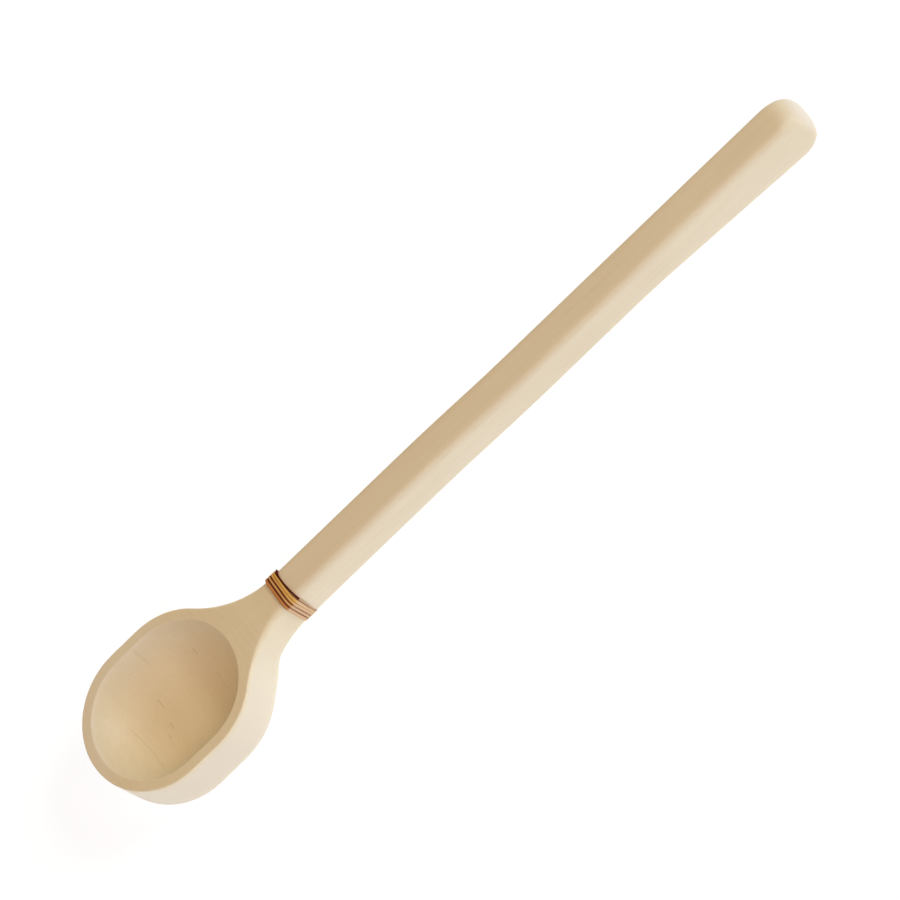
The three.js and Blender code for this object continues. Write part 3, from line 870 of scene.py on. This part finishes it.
# Binding: one strand of cane, flat on the wood, five turns over the joint
bindingShape = {
    **joint,
    "turnX": (-0.09477, -0.093075, -0.09163, -0.09043, -0.08957),  # where each turn crosses the top
    # how it gets on to the next turn, from the middle of the underside up the near side and round
    "advance": ((0.0, 0.0), (0.12, 0.03), (0.345, 0.33), (0.65, 0.36), (1.0, 1.0)),
    # where it strays towards the handle: at which turn, how far, and how long before and after
    "strays": ((3.37, 0.00034, 0.25, 0.12), (4.37, 0.00088, 0.22, 0.17), (4.61, 0.0006, 0.05, 0.05)),
    "widths": ((0.5, 0.0016), (1.28, 0.00148), (1.5, 0.00155), (1.75, 0.0015), (1.9, 0.00128),
               (2.12, 0.00128), (2.235, 0.00136), (2.32, 0.00138), (2.5, 0.00114), (3.1, 0.00116),
               (3.235, 0.00143), (3.32, 0.00155), (3.38, 0.0015), (3.5, 0.00114),
               (4.15, 0.00045), (4.37, 0.00085), (4.5, 0.00042), (4.56, 0.00042), (4.62, 0.00075)),
    # the dark flanks, partly painted shade in the grooves between turns: where they start, towards the bowl
    # and towards the handle, turn by turn
    "grooves": ((0.5, 0.28), (0.1, 0.0), (0.0, 0.97), (0.98, 0.6), (0.0, 0.0)),
    "thick": 0.00105, "press": 0.00004, "square": 0.75,  # over the top, into the wood, and its section
    # its own thickness round one turn: drawn flat under the near edge, proud over the far one
    "thickness": ((0.0, 0.0006), (0.125, 0.00045), (0.25, 0.0009), (0.5, 0.00105), (0.625, 0.0014),
                  (0.75, 0.00105), (1.0, 0.0006)),
    "endBend": 0.001, "endDepth": 0.0025,
    "turnSteps": 44, "endSteps": 4, "sides": 16, "softening": 1,
}


def makeBinding(shape):
    bm = bmesh.new()
    turnLayer = bm.verts.layers.float.new("strandTurn")
    sideLayer = bm.verts.layers.float.new("strandSide")
    edgeLayer = bm.verts.layers.float.new("strandEdge")
    seat = shape["thick"] / 2 - shape["press"]
    corner = shape["round"] + seat
    flatY = shape["half"] - shape["round"]
    middleZ = (shape["underside"] + shape["topZ"]) / 2
    flatZ = (shape["topZ"] - shape["underside"]) / 2 - shape["round"]
    lowZ = middleZ - flatZ - corner
    bend = corner * math.pi / 2
    around = 4 * (flatY + flatZ + bend)
    turns = len(shape["turnX"])

    def along(points, value):
        for (lowAt, lowGives), (highAt, highGives) in zip(points, points[1:]):
            if value <= highAt:
                share = max(value - lowAt, 0) / (highAt - lowAt)
                return between(lowGives, highGives, share)
        return points[-1][1]

    # where the strand is at a share of one turn, and which way is out
    def onLoop(share):
        run = (share % 1.0) * around
        stretches = [(flatY, 0), (bend, 1), (2 * flatZ, 0), (bend, 1), (2 * flatY, 0), (bend, 1),
                     (2 * flatZ, 0), (bend, 1), (flatY, 0)]
        place = Vector((0, 0, lowZ))
        heading = 0.0
        for length, bent in stretches:
            step = min(run, length)
            if bent:
                hub = place + corner * Vector((0, -math.sin(heading), math.cos(heading)))
                heading += step / corner
                place = hub - corner * Vector((0, -math.sin(heading), math.cos(heading)))
            else:
                place = place + step * Vector((0, math.cos(heading), math.sin(heading)))
            run -= step
            if run <= 0:
                break
        # the near side comes first
        place.y = -place.y
        return place, Vector((0, -math.sin(heading), -math.cos(heading)))

    crossing = along(shape["advance"], 0.5)

    def turnX(turn):
        run = int(turn) + along(shape["advance"], turn % 1.0) - crossing
        spot = min(max(int(run), 0), turns - 2)
        x = between(shape["turnX"][spot], shape["turnX"][spot + 1], run - spot)
        for middle, stray, before, after in shape["strays"]:
            x += stray * smooth(1 - abs(turn - middle) / (before if turn < middle else after))
        return x

    path = []
    for i in range(1, shape["turnSteps"] * turns):
        turn = i / shape["turnSteps"]
        place, out = onLoop(turn)
        path.append((turn, Vector((turnX(turn), place.y, place.z)), out))

    def tuckedEnd(x, side, turn):
        # from the strand's run along the underside up into the wood
        rise = shape["endBend"]
        spots = [(turn, Vector((x, 0, lowZ + shape["endDepth"])), Vector((0, side, 0)))]
        for angle in quarter(shape["endSteps"]):
            place = Vector((x, -side * rise * (1 - math.cos(angle)), lowZ + rise * (1 - math.sin(angle))))
            out = Vector((0, side * math.cos(angle), -math.sin(angle)))
            spots.append((turn, place, out))
        return spots

    starting = tuckedEnd(turnX(0), 1, 0.0)
    ending = tuckedEnd(turnX(turns), -1, float(turns))
    path = starting + path[1:-1] + ending[::-1]

    def squared(value):
        return math.copysign(abs(value) ** shape["square"], value)

    def ringAt(i):
        turn, place, out = path[i]
        before, after = path[max(i - 1, 0)][1], path[min(i + 1, len(path) - 1)][1]
        tangent = (after - before).normalized()
        side = out.cross(tangent).normalized()
        if side.x < 0:
            side = -side
        out = (out - tangent * out.dot(tangent)).normalized()
        width = along(shape["widths"], turn)
        thick = along(shape["thickness"], turn % 1.0)
        place = place + out * ((thick - shape["thick"]) / 2)
        spots = []
        for n in range(shape["sides"]):
            angle = 2 * math.pi * n / shape["sides"]
            spot = place + out * (squared(math.cos(angle)) * thick / 2)
            spots.append(spot + side * (squared(math.sin(angle)) * width / 2))
        return spots

    ring = bmesh.ops.create_circle(bm, segments=shape["sides"], radius=shape["thick"])["verts"]
    rings = [ring]
    for vert, spot in zip(ring, ringAt(0)):
        vert.co = spot
    for i in range(1, len(path)):
        ring = pullRow(bm, ring, ringAt(i), ring=True)
        rings.append(ring)
    for (turn, _, _), ring in zip(path, rings):
        for n, vert in enumerate(ring):
            across = squared(math.sin(2 * math.pi * n / shape["sides"]))
            before, after = shape["grooves"][min(int(turn), turns - 1)]
            start = after if across > 0 else before
            vert[turnLayer] = turn
            vert[sideLayer] = across
            vert[edgeLayer] = smooth((abs(across) - start) / (1 - start))
    for ring in (rings[0], rings[-1]):
        bmesh.ops.contextual_create(bm, geom=ring)
    finishPiece(bm, "caneBinding", caneSkin, "binding", shape["softening"])


makeBinding(bindingShape)
